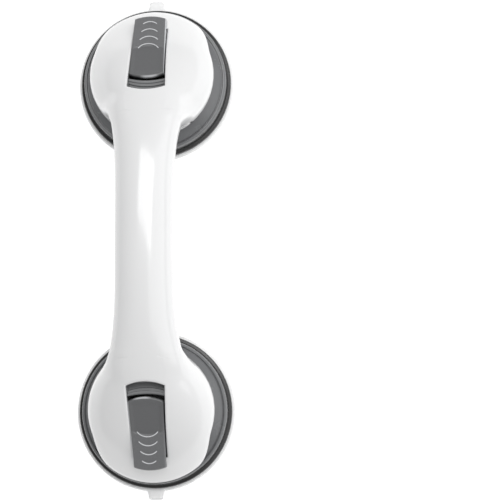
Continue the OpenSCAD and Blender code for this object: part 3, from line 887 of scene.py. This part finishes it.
def cup_rings(sizes):
    dome, web, boss = sizes.dome, sizes.web, sizes.boss
    edge = sizes.radius
    land = edge - sizes.land - 0.0004
    top = sizes.boss_top
    flange, hole = 0.0096, 0.0041
    return [
        (0, dome), (boss, dome - 0.0003), (0.025, dome * 0.74), (land - 0.004, dome * 0.3),
        (land - 0.0012, 0.0004), (land, 0.00005), (land + 0.0005, 0), (edge - 0.0007, 0),
        (edge - 0.0002, 0.0002),
        (edge, 0.0007), (edge, 0.0014), (edge - 0.0002, 0.0019), (edge - 0.0005, 0.0022),
        (edge - 0.0009, 0.00235), (edge - 0.003, 0.0023), (land - 0.001, web - 0.0006),
        (land - 0.005, web + 0.0015), (0.025, dome * 0.74 + web), (boss + 0.0015, dome + web - 0.0001),
        (boss + 0.0004, dome + web + 0.0004), (boss, dome + web + 0.0015), (boss, top - 0.0006),
        (boss - 0.0006, top), (hole, top), (hole, 0.0136), (flange, 0.0136), (flange, 0.0104), (0, 0.0104),
    ]


TAB_STEPS = (
    (0.16, 0.94, 0.98), (0.2, 0.94, 1), (0.22, 0.96, 1), (0.2, 0.97, 1),
    (0.12, 0.92, 0.97), (0.07, 0.8, 0.86), (0.03, 0.7, 0.6),
)


def build_cup(sizes):
    """The rear cup: turned, with its peel tab drawn out of the rim."""
    steps = 168
    piece = turned("rear_cup", cup_rings(sizes), steps, (0, CUP_AXIS))
    edge = sizes.radius
    root = sizes.tab_width * 0.6

    def on_rim(face):
        out = math.hypot(face.center.x, face.center.y - CUP_AXIS)
        return face.center.y > CUP_AXIS and abs(face.center.x) < root and out > edge - 0.00095 and (
            0.0001 < face.center.z < 0.0023
        )

    select_faces(piece, on_rim)
    tip = CUP_AXIS + edge + sizes.tab_reach
    centre = (0, tip, 0.0011)
    for part, narrow, thin in TAB_STEPS:
        bpy.ops.mesh.extrude_region()
        bpy.ops.transform.translate(value=(0, sizes.tab_reach * part, 0))
        bpy.ops.transform.resize(value=(narrow, 1, thin), center_override=centre)
    bpy.ops.object.mode_set(mode="OBJECT")
    points = points_of(piece)
    over = np.maximum(0, points[:, 1] - (tip - 0.0001))
    points[:, 1] -= over
    set_points(piece, points)
    smooth(piece, 50)
    return piece


# -------------------------------------------------------------------- levers


def lever_along(sizes, y):
    """Share of the lever's length at a distance from the cup axis."""
    return (y + sizes.inner) / (sizes.inner + sizes.outer)


def lever_half(sizes, along):
    return sizes.inner_width / 2 + (sizes.outer_width - sizes.inner_width) / 2 * along


def lever_top(sizes, y):
    slope = (sizes.outer_top - sizes.inner_top) / (sizes.outer + sizes.inner)
    return sizes.inner_top + slope * (y + sizes.inner)


RIDGE_FIRST = 0.0155
RIDGE_GAP = 0.005
DISH_END = 0.0128


def lever_grid(sizes):
    """Plan and height of the lever's top face, as rows along its length, with the mask of its painted
    highlights.
    """
    half_out = sizes.outer_width / 2
    edge = sizes.edge_round
    side = np.array([0, 0.06, 0.16, 0.3, 0.48, 0.7, 0.95]) * edge / 0.95
    middle = np.linspace(side[-1], half_out, 34)[1:]
    from_edge = np.concatenate([side, middle])
    shares = from_edge / half_out
    ends = np.array([0, 0.08, 0.2, 0.38, 0.6, 0.8, 1.0])
    inner_round = 0.0022
    start, stop = -sizes.inner, sizes.outer
    ridge_from = RIDGE_FIRST - 0.006
    rows = np.concatenate([
        start + ends * inner_round,
        np.arange(start + inner_round + 0.0008, ridge_from, 0.0008),
        np.arange(ridge_from, stop - edge - 0.0002, 0.00022),
        stop - ends[::-1] * edge,
    ])
    radius = sizes.end_radius
    grid = np.empty((len(rows), 2 * len(shares) - 1, 3))
    ridges_and_painted_highlights = np.empty(grid.shape[:2])
    for i, row in enumerate(rows):
        along = lever_along(sizes, row)
        half = lever_half(sizes, along)
        x = half * (1 - shares)
        x = np.concatenate([-x, x[-2::-1]])
        sag = radius - np.sqrt(radius**2 - x**2)
        bowed = row + sag * (1 - along) ** 3 - sag * along**3
        d_side = half - np.abs(x)
        z = lever_top(sizes, bowed)
        z -= rounded_drop(d_side, edge)
        z -= rounded_drop(np.full_like(x, row - start), inner_round) * (row < start + inner_round)
        z -= rounded_drop(np.full_like(x, stop - row), edge) * (row > stop - edge)
        relief, ridges_and_painted_highlights[i] = lever_relief(sizes, x, bowed, half)
        # Painted highlight: a lighter band along one side edge only (x > 0 on the rear lever) and across the
        # inner rounded end, where the studio light glints.
        painted_side_highlight = 0.68 * smoothstep((0.0007 - d_side) / 0.0004) * (x > 0)
        painted_end_highlight = 0.7 * smoothstep((0.0016 - row + start) / 0.0005)
        painted_end_highlight = painted_end_highlight * smoothstep(1.2 - np.abs(x - 0.002) / 0.008)
        ridges_and_painted_highlights[i] = np.maximum(ridges_and_painted_highlights[i], np.maximum(painted_side_highlight, painted_end_highlight))
        grid[i] = np.stack([x, bowed, z + relief], 1)
    return grid, ridges_and_painted_highlights


def lever_relief(sizes, x, y, half):
    """The thumb dish and the raised arcs."""
    reach = DISH_END + 0.0022 - 0.0022 * (x / half) ** 2
    dish = smoothstep((reach - y) / 0.0011) * smoothstep((y + sizes.inner - 0.0015) / 0.004)
    rim = smoothstep((half - 0.0008 - np.abs(x)) / 0.0022)
    crest = np.zeros_like(x)
    for k in range(sizes.ridges):
        width = 0.0058 - 0.00065 * k
        radius = 0.0076 - 0.0005 * k
        centre = RIDGE_FIRST + RIDGE_GAP * k - radius
        turn = np.arctan2(x, y - centre)
        limit = math.asin(width / radius)
        over = np.maximum(0, np.abs(turn) - limit) * radius
        off = np.hypot(np.hypot(x, y - centre) - radius, over)
        crest = np.maximum(crest, smoothstep(1 - off / sizes.ridge_width))
    # The arcs' profile is also returned as the mask that paints the arcs lighter: painted highlight.
    return sizes.ridge_height * crest - sizes.dish * dish * rim, crest


def lever_foot(sizes, y):
    """Lower edge of the lever's skirts."""
    contour = OUTER["contour"]
    pin = HINGE[2]
    step = handle_sizes().slot_outer - 0.0026

    def tip(along):
        shell = np.array([contour.top(CUP_AXIS + float(value)) + 0.0009 for value in along])
        return np.minimum(shell, lever_top(sizes, along) - 0.0022)

    stations = [-sizes.inner, -0.0039, -0.00385, 0.0075, step - 0.0011, step]
    heights = [sizes.inner_top - sizes.plate, pin + 0.0074, pin + 0.001, pin - 0.0065, pin - 0.0106]
    heights.append(float(tip(np.array([step]))[0]))
    return np.where(y > step, tip(y), np.interp(y, stations, heights))


CHEEK = (0.0043, 0.009)
CAM = 0.009


def cam_outline():
    """Side view of a cam cheek: the involute of a circle, so that the lift is even."""
    pin = HINGE[2]
    turn = math.radians(JOINTS["rear_lever_hinge"]["range_deg"][1])
    pitch = LIFT / turn
    points = [(0.0065, pin + 0.0046), (0.0065, pin - CAM)]
    for angle in np.linspace(0, turn, 31):
        lift = CAM - pitch * angle
        a = -math.pi / 2 - angle
        along = lift * math.cos(a) - pitch * math.sin(a)
        points.append((along, pin + lift * math.sin(a) + pitch * math.cos(a)))
    end = CAM - LIFT
    points += [(-end, pin + 0.0074), (-end, pin + 0.0084)]
    return points


def build_lever(sizes):
    grid, ridges_and_painted_highlights = lever_grid(sizes)
    piece = laid_grid("rear_lever_cap", grid)
    count = len(piece.data.vertices)
    # The painted-highlight mask of the arcs and edges is kept on the points as an attribute, for the lever's
    # finish.
    crest = piece.data.attributes.new("crest", "FLOAT", "POINT")
    crest.data.foreach_set("value", ridges_and_painted_highlights.ravel().astype(np.float32))
    bpy.ops.object.mode_set(mode="EDIT")
    bpy.ops.mesh.select_mode(type="EDGE")
    bpy.ops.mesh.select_all(action="DESELECT")
    bpy.ops.mesh.select_non_manifold()
    for _ in range(3):
        bpy.ops.mesh.extrude_region()
    bpy.ops.mesh.edge_face_add()
    bpy.ops.object.mode_set(mode="OBJECT")
    points = points_of(piece)
    rim = (len(points) - count) // 3
    foot, lip, roof = (slice(count + k * rim, count + (k + 1) * rim) for k in range(3))
    y = points[foot, 1].copy()
    half = lever_half(sizes, lever_along(sizes, y))
    points[foot, 2] = lever_foot(sizes, y)
    points[lip, 2] = points[foot, 2]
    points[lip, 0] *= (half - sizes.skirt) / half
    points[lip, 1] = np.clip(points[lip, 1], -sizes.inner + 0.0016, 0.0235)
    points[roof] = points[lip]
    points[roof, 2] = lever_top(sizes, points[roof, 1]) - sizes.plate
    set_points(piece, points)
    bpy.ops.object.mode_set(mode="EDIT")
    bpy.ops.mesh.select_all(action="SELECT")
    bpy.ops.mesh.normals_make_consistent(inside=False)
    bpy.ops.object.mode_set(mode="OBJECT")
    for low, high in (CHEEK, (-CHEEK[1], -CHEEK[0])):
        cheek = prism("cheek", cam_outline(), low, high)
        piece = join([piece, cheek])
    points = points_of(piece)
    points[:, 1] += CUP_AXIS
    set_points(piece, points)
    smooth(piece, 38)
    return piece


LEDGE_LIP = (0.0082, 0.0519)
LEDGE_UNDER = 0.0014
LEDGE_STEPS = ((0.0031, 0.0007), (0.0049, 0.0004))
LEDGE_RISE = 0.0004
LEDGE_HALF = 0.01085


def build_well(sizes):
    """The rear tray: a welded copy of the frame's, with a stepped ledge that follows the slot's end."""
    piece = frame_copy("rear_well", "rear_lever_well")
    lip, height = LEDGE_LIP
    under = OUTER["contour"].top(CUP_AXIS - sizes.slot_inner) - sizes.wall
    room = box_solid(
        "room",
        (0.0004 - LEDGE_HALF, CUP_AXIS - sizes.slot_inner + 0.0003, height - 0.0075),
        (LEDGE_HALF - 0.0004, CUP_AXIS - lip, under + 0.002),
    )
    combine(piece, room, "DIFFERENCE")
    across = np.linspace(-LEDGE_HALF, LEDGE_HALF, 33)
    bow = sizes.slot_bow - np.sqrt(sizes.slot_bow**2 - across**2)
    edge = -sizes.slot_inner + bow
    length = sizes.slot_inner - lip
    fine = [np.linspace(at - 0.0003, at + 0.0003, 5) for at, _ in LEDGE_STEPS]
    travel = np.unique(np.concatenate([np.linspace(-LEDGE_UNDER, length, 24), *fine]))
    grid = np.empty((len(travel), len(across), 3))
    for i, inward in enumerate(travel):
        y = edge + inward * (1 - 0.4 * bow / length)
        z = np.full_like(y, height - LEDGE_RISE * (1 - inward / length))
        for at, step in LEDGE_STEPS:
            z -= step * (1 - smoothstep((inward - at + 0.0002) / 0.0004))
        z -= rounded_drop(np.full_like(y, length - inward), 0.0007)
        grid[i] = np.stack([across, y + CUP_AXIS, z], 1)
    ledge = laid_grid("ledge", grid)
    apply_modifier(ledge, "SOLIDIFY", thickness=0.0012, offset=-1, use_rim=True)
    piece = join([piece, ledge])
    smooth(piece, 30)
    return piece


# ----------------------------------------------------------------- materials


class Recipe:
    """A node material in the making."""

    def __init__(self, name):
        self.material = bpy.data.materials.new(name)
        self.material.use_nodes = True
        self.tree = self.material.node_tree
        self.shader = self.tree.nodes["Principled BSDF"]
        self.place = self.node("ShaderNodeTexCoord").outputs["Object"]

    def node(self, kind, **values):
        made = self.tree.nodes.new(kind)
        for key, value in values.items():
            setattr(made, key, value)
        return made

    def link(self, source, target):
        self.tree.links.new(source, target)

    def mapped(self, scale=(1, 1, 1), location=(0, 0, 0)):
        mapping = self.node("ShaderNodeMapping")
        mapping.inputs["Scale"].default_value = scale
        mapping.inputs["Location"].default_value = location
        self.link(self.place, mapping.inputs["Vector"])
        return mapping.outputs["Vector"]

    def noise(self, scale, detail=2.0, rough=0.5, vector=None):
        made = self.node("ShaderNodeTexNoise")
        made.inputs["Scale"].default_value = scale
        made.inputs["Detail"].default_value = detail
        made.inputs["Roughness"].default_value = rough
        self.link(vector or self.place, made.inputs["Vector"])
        return made.outputs["Fac"]

    def ranged(self, source, low, high, from_low=0.3, from_high=0.7):
        made = self.node("ShaderNodeMapRange", clamp=True)
        for key, value in zip(("From Min", "From Max", "To Min", "To Max"), (from_low, from_high, low, high)):
            made.inputs[key].default_value = value
        self.link(source, made.inputs["Value"])
        return made.outputs["Result"]

    def math(self, operation, first, second=0.0):
        made = self.node("ShaderNodeMath", operation=operation)
        for socket, value in zip(made.inputs, (first, second)):
            if isinstance(value, (int, float)):
                socket.default_value = value
            else:
                self.link(value, socket)
        return made.outputs["Value"]

    def tinted(self, base, low, high, factor):
        """The base colour, from low times to high times as bright, led by a factor."""
        made = self.node("ShaderNodeMix", data_type="RGBA")
        made.inputs["A"].default_value = (*[min(1, part * low) for part in base], 1)
        made.inputs["B"].default_value = (*[min(1, part * high) for part in base], 1)
        self.link(factor, made.inputs["Factor"])
        self.link(made.outputs["Result"], self.shader.inputs["Base Color"])
        return made.outputs["Result"]

    def over(self, base, tone, factor):
        """A flat tone laid over a colour, led by a factor."""
        made = self.node("ShaderNodeMix", data_type="RGBA")
        made.inputs["B"].default_value = (*tone, 1)
        self.link(base, made.inputs["A"])
        self.link(factor, made.inputs["Factor"])
        self.link(made.outputs["Result"], self.shader.inputs["Base Color"])
        return made.outputs["Result"]

    def axes(self):
        made = self.node("ShaderNodeSeparateXYZ")
        self.link(self.place, made.inputs["Vector"])
        return made.outputs

    def rough(self, source, *span):
        self.link(self.ranged(source, *span), self.shader.inputs["Roughness"])

    def bump(self, height, distance, strength=1.0):
        made = self.node("ShaderNodeBump")
        made.inputs["Distance"].default_value = distance
        made.inputs["Strength"].default_value = strength
        self.link(height, made.inputs["Height"])
        self.link(made.outputs["Normal"], self.shader.inputs["Normal"])

    def set(self, **values):
        for key, value in values.items():
            self.shader.inputs[key.replace("_", " ")].default_value = value


def shell_finish(look):
    r = Recipe("gloss_white_shell")
    cloud = r.noise(14, 3)
    r.tinted(look.shell, 0.985, 1.01, cloud)
    smears = r.noise(60, 5, 0.6, r.mapped((1, 0.35, 1)))
    r.rough(smears, look.gloss * 0.8, look.gloss * 1.35)
    r.bump(r.math("ADD", r.noise(260, 2), r.math("MULTIPLY", r.noise(2600, 2), 0.12)), 0.00005, 0.35)
    r.set(IOR=1.5, Coat_Weight=0.25, Coat_Roughness=0.06)
    return r.material


# Painted shade on the cup housings, as (tone, from, to): dark grey below 11.4 to 11.8 mm and near black below
# 7.0 to 7.4 mm, in place of the shade on the skirt's upright wall.
SKIRT_PAINTED_SHADE = (0.062, 0.0114, 0.0118)
FOOT_PAINTED_SHADE = (0.01, 0.0070, 0.0074)


def housing_finish(look):
    r = Recipe("satin_grey_housing")
    tone_so_far = r.tinted(look.housing, 0.9, 1.1, r.noise(40, 4, 0.6))
    height = r.axes()["Z"]
    # Painted shade: the lower housing is laid over in darker tones by height.
    for tone, low, high in (SKIRT_PAINTED_SHADE, FOOT_PAINTED_SHADE):
        painted_shade = r.ranged(height, 1, 0, low, high)
        tone_so_far = r.over(tone_so_far, (tone, tone, tone * 1.03), painted_shade)
    grain = r.noise(3800, 3, 0.6)
    r.rough(r.noise(90, 4, 0.6), 0.2, 0.3)
    r.bump(grain, 0.00004, 0.25)
    r.set(IOR=1.5)
    return r.material


# How many times lighter than the lever's grey its painted highlights are.
PAINTED_HIGHLIGHT_GAIN = 4.8


def lever_finish(look):
    r = Recipe("grained_grey_lever")
    axes = r.axes()
    along = r.math("SUBTRACT", r.math("ABSOLUTE", axes["Y"]), CUP_AXIS)
    curve = r.math("MULTIPLY", r.math("POWER", r.math("ABSOLUTE", axes["X"]), 2.0), 22.0)
    grained = r.ranged(r.math("ADD", along, curve), 0, 1, DISH_END + 0.0008, DISH_END + 0.0016)
    speckle = r.noise(1500, 4, 0.7)
    tone = r.math("MULTIPLY", speckle, r.ranged(grained, 0.35, 1, 0, 1))
    base = r.tinted(look.lever, 0.78, 1.3, tone)
    # Painted highlight: the raised arcs, one side edge and the inner end are laid over in a much lighter
    # grey.
    crest = r.node("ShaderNodeAttribute", attribute_name="crest").outputs["Fac"]
    r.over(base, [part * PAINTED_HIGHLIGHT_GAIN for part in look.lever], r.ranged(crest, 0, 1, 0.35, 0.85))
    grain = r.node("ShaderNodeTexVoronoi")
    grain.inputs["Scale"].default_value = 2600
    r.link(r.place, grain.inputs["Vector"])
    height = r.math("MULTIPLY", grain.outputs["Distance"], r.ranged(grained, 0.12, 1, 0, 1))
    r.bump(height, 0.00007, 0.6)
    r.rough(grained, 0.34, 0.5, 0, 1)
    r.set(IOR=1.5)
    return r.material


def well_finish(look):
    r = Recipe("satin_grey_well")
    r.tinted(look.well, 0.85, 1.15, r.noise(70, 4, 0.6))
    r.rough(r.noise(160, 3), 0.3, 0.44)
    r.bump(r.noise(3000, 3, 0.6), 0.00004, 0.3)
    r.set(IOR=1.5)
    return r.material


def cup_finish(look):
    r = Recipe("frosted_clear_cup")
    r.tinted(look.cup, 0.94, 1.02, r.noise(55, 4, 0.6))
    r.rough(r.noise(120, 4, 0.6), 0.26, 0.42)
    r.bump(r.math("ADD", r.noise(420, 3), r.math("MULTIPLY", r.noise(3000, 2), 0.1)), 0.00004, 0.25)
    r.set(IOR=1.4, Transmission_Weight=0.15)
    return r.material


def steel_finish(look):
    r = Recipe("bright_steel")
    brushed = r.noise(900, 4, 0.6, r.mapped((0.12, 1, 1)))
    r.tinted(look.steel, 0.86, 1.12, brushed)
    r.rough(brushed, 0.22, 0.4)
    r.bump(brushed, 0.00003, 0.4)
    r.set(Metallic=1.0)
    return r.material


def dark_steel_finish(look):
    r = Recipe("blackened_steel")
    r.tinted([part * 0.12 for part in look.steel], 0.7, 1.3, r.noise(400, 4, 0.6))
    r.rough(r.noise(700, 3), 0.35, 0.55)
    r.bump(r.noise(1800, 3), 0.00003, 0.4)
    r.set(Metallic=1.0)
    return r.material


def stem_finish(look):
    r = Recipe("pale_stem_plastic")
    r.tinted(look.stem, 0.93, 1.05, r.noise(130, 4))
    r.rough(r.noise(300, 3), 0.34, 0.5)
    r.bump(r.noise(2400, 3), 0.00004, 0.3)
    return r.material


FINISHES = {
    "shell": shell_finish,
    "housing": housing_finish,
    "lever": lever_finish,
    "well": well_finish,
    "cup": cup_finish,
    "steel": steel_finish,
    "dark_steel": dark_steel_finish,
    "stem": stem_finish,
}
MADE = {}


def finish_of(name):
    if name not in MADE:
        MADE[name] = FINISHES[name](bpy.context.scene.grab_finish)
    return MADE[name]


# ----------------------------------------------------------------- operators


class GRAB_OT_top_shell(bpy.types.Operator):
    """Builds the handle's top shell with its two lever slots"""

    bl_idname = "grab.top_shell"
    bl_label = "Top shell"

    def execute(self, context):
        piece = build_top_shell(context.scene.grab_handle)
        settle(piece, "handle", "white_shell", "shell", "handle_top_shell")
        return {"FINISHED"}


class GRAB_OT_bottom_shell(bpy.types.Operator):
    """Builds the handle's bottom shell with its floors and screw wells"""

    bl_idname = "grab.bottom_shell"
    bl_label = "Bottom shell"

    def execute(self, context):
        piece = build_bottom_shell(context.scene.grab_handle)
        settle(piece, "handle", "white_shell", "shell", "handle_bottom_shell")
        return {"FINISHED"}


class GRAB_OT_housings(bpy.types.Operator):
    """Builds the two cup housings"""

    bl_idname = "grab.housings"
    bl_label = "Cup housings"

    def execute(self, context):
        rear = build_housing(context.scene.grab_cup)
        for end, piece in both_ends(rear, "front_housing"):
            settle(piece, "handle", "grey_housing", "housing", end + "_cup_housing")
        return {"FINISHED"}


class GRAB_OT_cups(bpy.types.Operator):
    """Builds the two soft cups"""

    bl_idname = "grab.cups"
    bl_label = "Suction cups"

    def execute(self, context):
        for end, piece in both_ends(build_cup(context.scene.grab_cup), "front_cup"):
            settle(piece, None, "soft_cup", "cup", end + "_suction_cup")
            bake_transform(piece)
        return {"FINISHED"}


class GRAB_OT_springs(bpy.types.Operator):
    """Builds the two stem springs"""

    bl_idname = "grab.springs"
    bl_label = "Stem springs"

    def execute(self, context):
        for end, y in ENDS.items():
            piece = frame_copy(end + "_spring", end + "_stem_spring")
            smooth(piece, 60)
            settle(piece, None, "steel", "steel", end + "_stem_spring")
            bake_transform(piece)
        return {"FINISHED"}


class GRAB_OT_levers(bpy.types.Operator):
    """Builds the two cam levers with their raised arcs"""

    bl_idname = "grab.levers"
    bl_label = "Levers"

    def execute(self, context):
        sizes = context.scene.grab_lever
        for end, piece in both_ends(build_lever(sizes), "front_lever_cap"):
            points = points_of(piece)
            along = lever_along(sizes, np.abs(points[:, 1]) - CUP_AXIS)
            points[:, 0] -= sizes.side_play * (1 - 0.7 * np.clip(along, 0, 1))
            set_points(piece, points)
            settle(piece, end + "_lever", "grey_lever", "lever", end + "_lever")
        return {"FINISHED"}


class GRAB_OT_wells(bpy.types.Operator):
    """Builds the trays round the levers"""

    bl_idname = "grab.wells"
    bl_label = "Lever wells"

    def execute(self, context):
        rear = build_well(context.scene.grab_handle)
        for end, piece in both_ends(rear, "front_well"):
            settle(piece, "handle", "grey_housing", "well", end + "_lever_well")
        return {"FINISHED"}


INNER_FINISHES = {
    "_cup_stem": "stem",
    "_lever_pin": "steel",
    "_cam_plate": "dark_steel",
    "_housing_screws": "steel",
    "shell_screws": "steel",
}


class GRAB_OT_inner_parts(bpy.types.Operator):
    """Gives the stems, pins, cam plates and screws their finishes"""

    bl_idname = "grab.inner_parts"
    bl_label = "Inner parts"

    def execute(self, context):
        for name, node in frame["nodes"].items():
            for ending, finish in INNER_FINISHES.items():
                if name.endswith(ending):
                    for slot in node.material_slots:
                        slot.material = finish_of(finish)
        return {"FINISHED"}


def softbox(name, place, aim, width, depth, power):
    deselect()
    bpy.ops.object.light_add(type="AREA", location=place)
    light = bpy.context.object
    light.name = name
    light.rotation_euler = (Vector(aim) - Vector(place)).to_track_quat("-Z", "Y").to_euler()
    light.data.shape = "RECTANGLE"
    light.data.size = width
    light.data.size_y = depth
    light.data.energy = power


class GRAB_OT_stage(bpy.types.Operator):
    """Builds the floor, the studio light and the camera"""

    bl_idname = "grab.stage"
    bl_label = "Stage"

    def execute(self, context):
        look = context.scene.grab_stage
        deselect()
        bpy.ops.mesh.primitive_plane_add(size=6, location=(0, 0, -0.0002))
        floor = start_piece("studio_floor")
        r = Recipe("pale_floor")
        r.tinted(look.floor, 0.99, 1.01, r.noise(3, 2))
        r.set(Roughness=0.9, IOR=1.2, Emission_Color=(1, 1, 1, 1), Emission_Strength=look.glow)
        dress(floor, r.material)
        world = bpy.data.worlds.new("studio")
        context.scene.world = world
        world.use_nodes = True
        sky = world.node_tree.nodes["Background"]
        sky.inputs["Color"].default_value = (1, 1, 1, 1)
        sky.inputs["Strength"].default_value = look.fill
        for args in SOFTBOXES:
            softbox(*args)
        bpy.ops.object.camera_add(location=CAMERA_PLACE)
        camera = context.object
        camera.name = "studio_camera"
        camera.matrix_world = Matrix.Translation(CAMERA_PLACE) @ camera_turn().to_4x4()
        camera.data.lens = look.lens
        camera.data.sensor_width = 36
        camera.data.clip_end = 20
        context.scene.camera = camera
        context.scene.view_settings.view_transform = "Standard"
        return {"FINISHED"}


CAMERA_PLACE = (0.115489, -0.125783, 0.999997)
CAMERA_TURN = (-0.122, -0.06, 0.009)
SOFTBOXES = (
    ("key_box", (1.3, 0.1, 1.5), (0, 0, 0), 2.2, 2.6, 20),
    ("crown_box", (0.12, 0.5, 1.5), (0, 0, 0.07), 0.95, 0.7, 9.5),
)


def camera_turn():
    turn = Vector(CAMERA_TURN)
    return Matrix.Rotation(-turn.length, 3, turn.normalized())


class GRAB_PT_panel(bpy.types.Panel):
    """The grab bar's pieces, in the order in which they are built"""

    bl_idname = "GRAB_PT_panel"
    bl_label = "Suction Grab Bar"
    bl_space_type = "VIEW_3D"
    bl_region_type = "UI"
    bl_category = "Grab Bar"

    def draw(self, context):
        for name in SETTINGS:
            box = self.layout.box()
            settings = getattr(context.scene, name)
            for key in settings.bl_rna.properties.keys():
                if key not in ("rna_type", "name"):
                    box.prop(settings, key)
        for operator in OPERATORS:
            self.layout.operator(operator.bl_idname)


OPERATORS = (
    GRAB_OT_top_shell,
    GRAB_OT_bottom_shell,
    GRAB_OT_housings,
    GRAB_OT_cups,
    GRAB_OT_springs,
    GRAB_OT_wells,
    GRAB_OT_levers,
    GRAB_OT_inner_parts,
    GRAB_OT_stage,
)
CLASSES = (*SETTINGS.values(), *OPERATORS, GRAB_PT_panel)


def register():
    for made in CLASSES:
        bpy.utils.register_class(made)
    for name, settings in SETTINGS.items():
        setattr(bpy.types.Scene, name, PointerProperty(type=settings))


def unregister():
    for name in SETTINGS:
        delattr(bpy.types.Scene, name)
    for made in reversed(CLASSES):
        bpy.utils.unregister_class(made)


def main():
    register()
    for operator in OPERATORS:
        group, name = operator.bl_idname.split(".")
        getattr(getattr(bpy.ops, group), name)()


if __name__ == "__main__":
    main()
